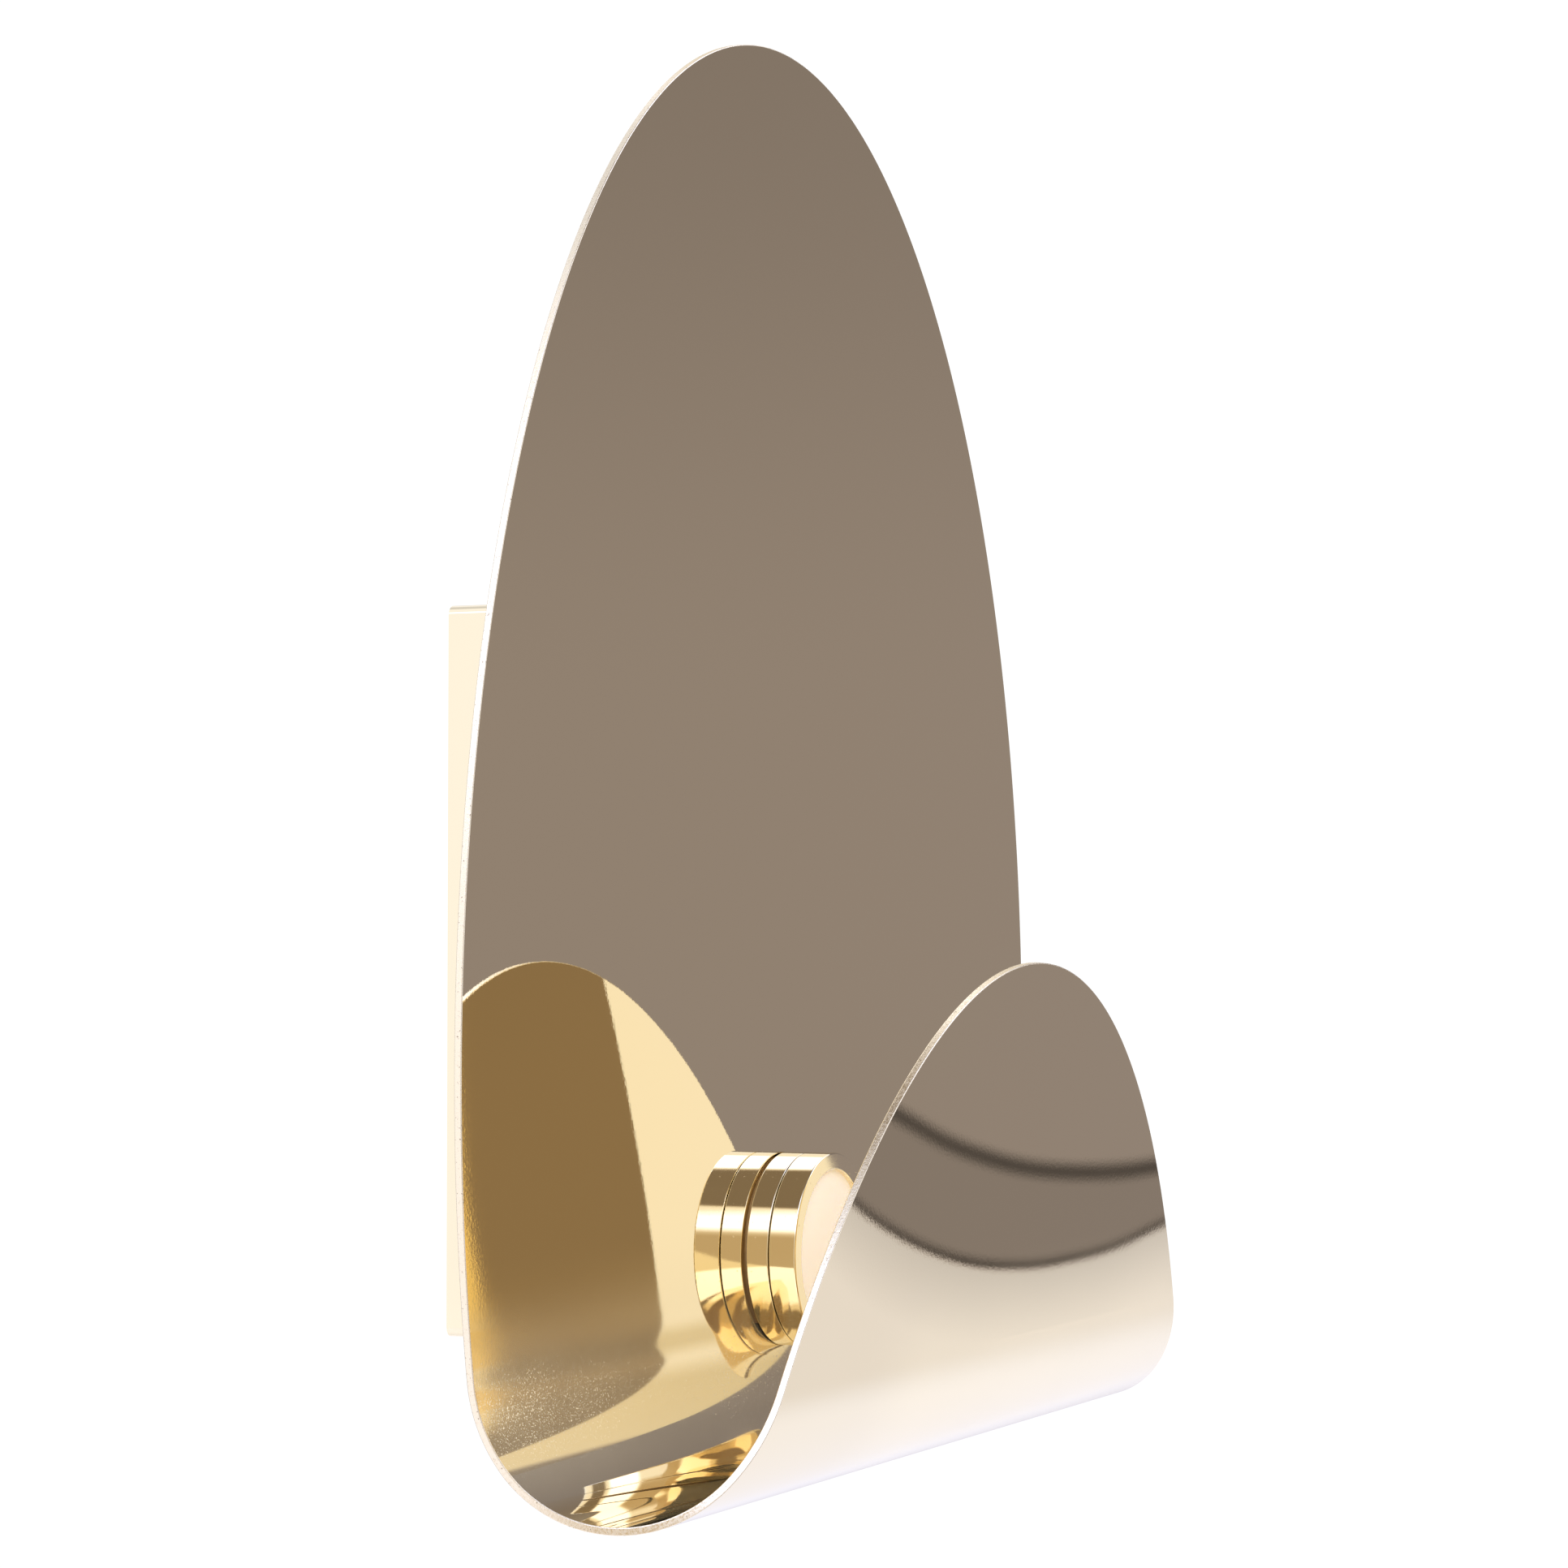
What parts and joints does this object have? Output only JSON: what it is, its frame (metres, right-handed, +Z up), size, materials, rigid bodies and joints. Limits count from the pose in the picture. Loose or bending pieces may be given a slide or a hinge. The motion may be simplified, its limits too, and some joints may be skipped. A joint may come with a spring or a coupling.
{
  "type": "wall light",
  "caption": "Wall light: a tall oval sheet of mirror-polished brass, curled up at the foot around a small round lamp, on a square wall box.",
  "frame": {"origin": "on the wall, at the middle of the backplate's four fixing holes and of the square wall box", "axes": "+Z up, +Y into the wall, -Y out into the room, +X across the wall to the right as seen from the room"},
  "size_m": [0.283, 0.0975, 0.2926],
  "materials": {
    "polished_brass": "mirror polished and lacquered",
    "brass_fittings": "turned, plain",
    "zinc_steel": "bright zinc plated",
    "black_rubber": "matt",
    "fibre_washer": "pressed brown fibre",
    "white_plastic": "fine matt moulded",
    "circuit_board": "solder mask",
    "ferrite": "taped winding",
    "capacitor_sleeve": "shrink sleeve",
    "thermal_pad": "soft matt",
    "led_board": "white solder mask on aluminium",
    "led_phosphor": "phosphor gel",
    "clear_silicone": "translucent",
    "opal_diffuser": "opal, satin front",
    "red_lead": "insulation",
    "black_lead": "insulation",
    "brown_lead": "insulation",
    "blue_lead": "insulation",
    "green_yellow_lead": "insulation"
  },
  "bodies": {
    "root": {"reflector": "polished_brass", "canopy": "polished_brass", "lamp_base": "polished_brass", "canopy_screws": "polished_brass", "weld_studs": "brass_fittings", "stud_nuts": "brass_fittings", "stud_washers": "zinc_steel", "backplate": "zinc_steel", "bracket_top": "zinc_steel", "bracket_bottom": "zinc_steel", "bracket_rivets": "zinc_steel", "clinch_nuts": "zinc_steel", "cable_grommet": "black_rubber", "terminal_block": "white_plastic", "terminal_poles": "brass_fittings", "pole_screws": "zinc_steel", "block_screws": "zinc_steel", "driver_case": "white_plastic", "driver_lid": "white_plastic", "driver_supports": "white_plastic", "driver_board": "circuit_board", "driver_transformer": "ferrite", "driver_capacitors": "capacitor_sleeve", "driver_screws": "zinc_steel", "earth_tag": "zinc_steel", "earth_washer": "zinc_steel", "earth_screw": "brass_fittings", "lamp_gasket": "fibre_washer", "lamp_nipple": "zinc_steel", "nipple_washer": "zinc_steel", "nipple_nut": "brass_fittings", "thermal_pad": "thermal_pad", "led_board": "led_board", "led_chips": "led_phosphor", "board_screws": "zinc_steel", "lamp_lead_positive": "red_lead", "lamp_lead_negative": "black_lead", "live_lead": "brown_lead", "neutral_lead": "blue_lead", "earth_lead": "green_yellow_lead"},
    "lens": {"diffuser": "opal_diffuser", "lens_seal": "clear_silicone"},
    "bezel": {"lamp_bezel": "polished_brass"}
  },
  "joints": [
    {"name": "lens_lift", "type": "slide", "parent": "root", "child": "lens", "axis": [0, -1, 0], "range_m": [0, 0.00251]},
    {"name": "bezel_turn", "type": "hinge", "parent": "lens", "child": "bezel", "pos_m": [0, -0.0485, -0.0582], "axis": [0, -1, 0], "range_deg": [0, 900]}
  ],
  "couplings": [
    {"joint": "lens_lift", "follows": "bezel_turn", "m_per_rad": 0.00015915}
  ]
}
